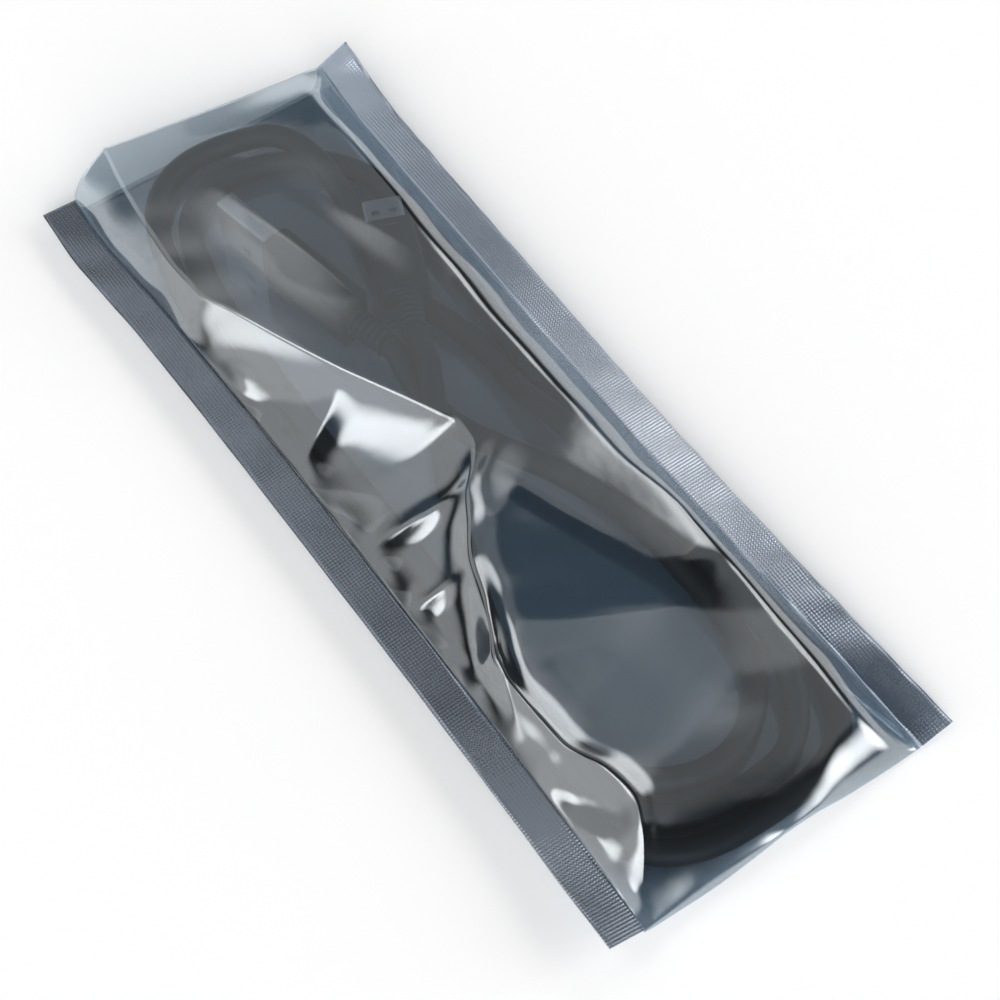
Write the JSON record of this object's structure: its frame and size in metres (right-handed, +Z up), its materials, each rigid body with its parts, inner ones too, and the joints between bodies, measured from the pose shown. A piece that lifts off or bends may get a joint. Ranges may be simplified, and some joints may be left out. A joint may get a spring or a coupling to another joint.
{
  "type": "anti static shielding bag",
  "caption": "Open-top bag of grey see-through metallised film, heat-sealed along both long sides, lying flat with a coiled black lead inside.",
  "frame": {"origin": "on the table, under the middle of the bag", "axes": "+Y along the bag towards its open mouth, +X across it, +Z up"},
  "size_m": [0.079, 0.2, 0.0151],
  "materials": {
    "shielding_film": "see-through metallised film, mirror-like",
    "lead_jacket": "smooth black jacket",
    "plug_moulding": "satin black moulding",
    "plug_shell": "plated sheet steel",
    "plug_tongue": "moulded contact carrier",
    "contact_plating": "gold-coloured plated contact strips"
  },
  "bodies": {
    "root": {"film_pouch": "shielding_film", "lead": "lead_jacket", "large_plug_body": "plug_moulding", "large_plug_shell": "plug_shell", "large_plug_tongue": "plug_tongue", "large_plug_contact_1": "contact_plating", "large_plug_contact_2": "contact_plating", "large_plug_contact_3": "contact_plating", "large_plug_contact_4": "contact_plating", "large_plug_strain_relief": "plug_moulding", "small_plug_body": "plug_moulding", "small_plug_shell": "plug_shell", "small_plug_tongue": "plug_tongue", "small_plug_contact_1": "contact_plating", "small_plug_contact_2": "contact_plating", "small_plug_contact_3": "contact_plating", "small_plug_contact_4": "contact_plating", "small_plug_contact_5": "contact_plating", "small_plug_strain_relief": "plug_moulding"}
  },
  "joints": []
}
